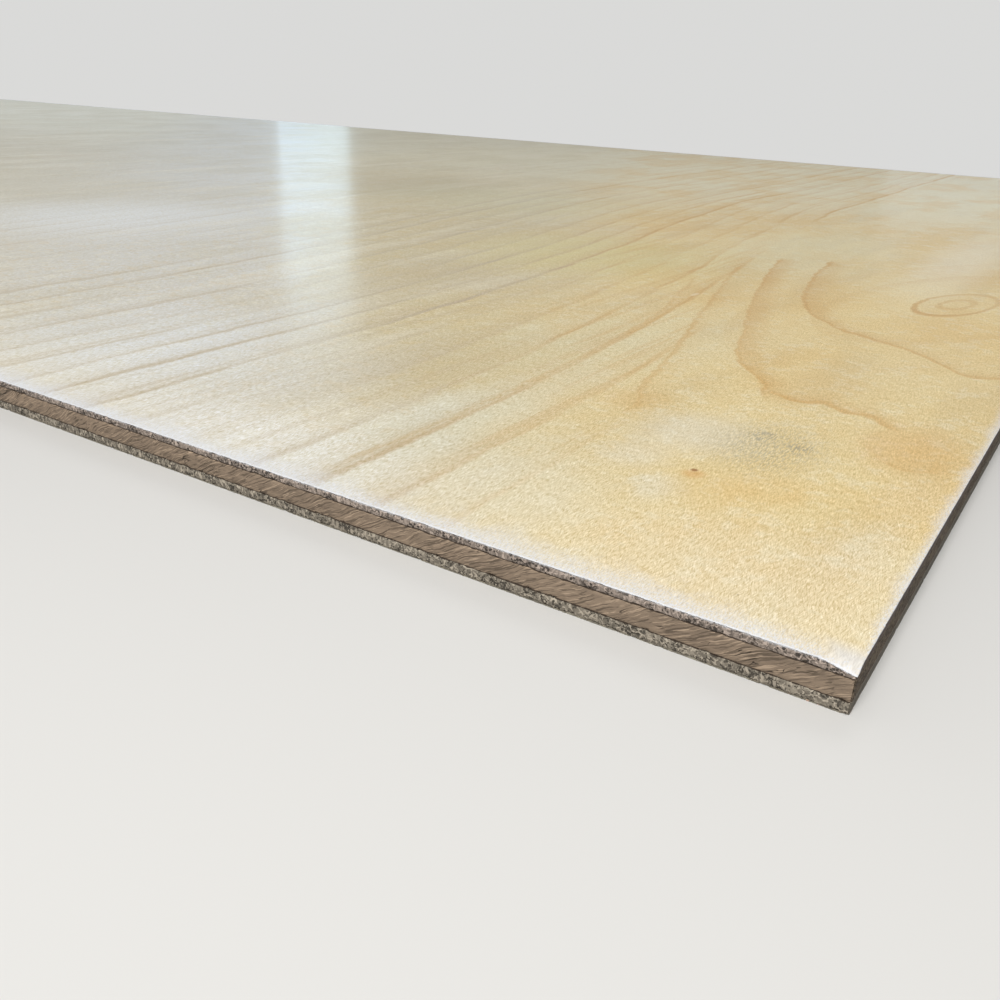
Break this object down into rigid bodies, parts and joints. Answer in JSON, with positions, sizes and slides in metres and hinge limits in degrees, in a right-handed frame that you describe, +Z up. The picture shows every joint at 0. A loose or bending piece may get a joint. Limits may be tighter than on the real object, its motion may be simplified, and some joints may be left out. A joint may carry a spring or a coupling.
{
  "type": "plywood sheet",
  "caption": "Flat rectangular plywood sheet with a thick core ply, crossed outer plies and thin pale face and back veneers, sawn square on every side.",
  "frame": {"origin": "middle of the back face, which the sheet lies on", "axes": "+X along the long sides, +Y along the short sides and along the grain of the face, +Z up out of the good face"},
  "size_m": [2.44, 1.22, 0.0095],
  "materials": {
    "back_veneer": "matte",
    "lower_ply": "matte",
    "core_ply": "matte",
    "upper_ply": "matte",
    "face_veneer": "satin"
  },
  "bodies": {
    "root": {"back_veneer": "back_veneer", "lower_ply": "lower_ply", "core_ply": "core_ply", "upper_ply": "upper_ply", "face_veneer": "face_veneer"}
  },
  "joints": []
}
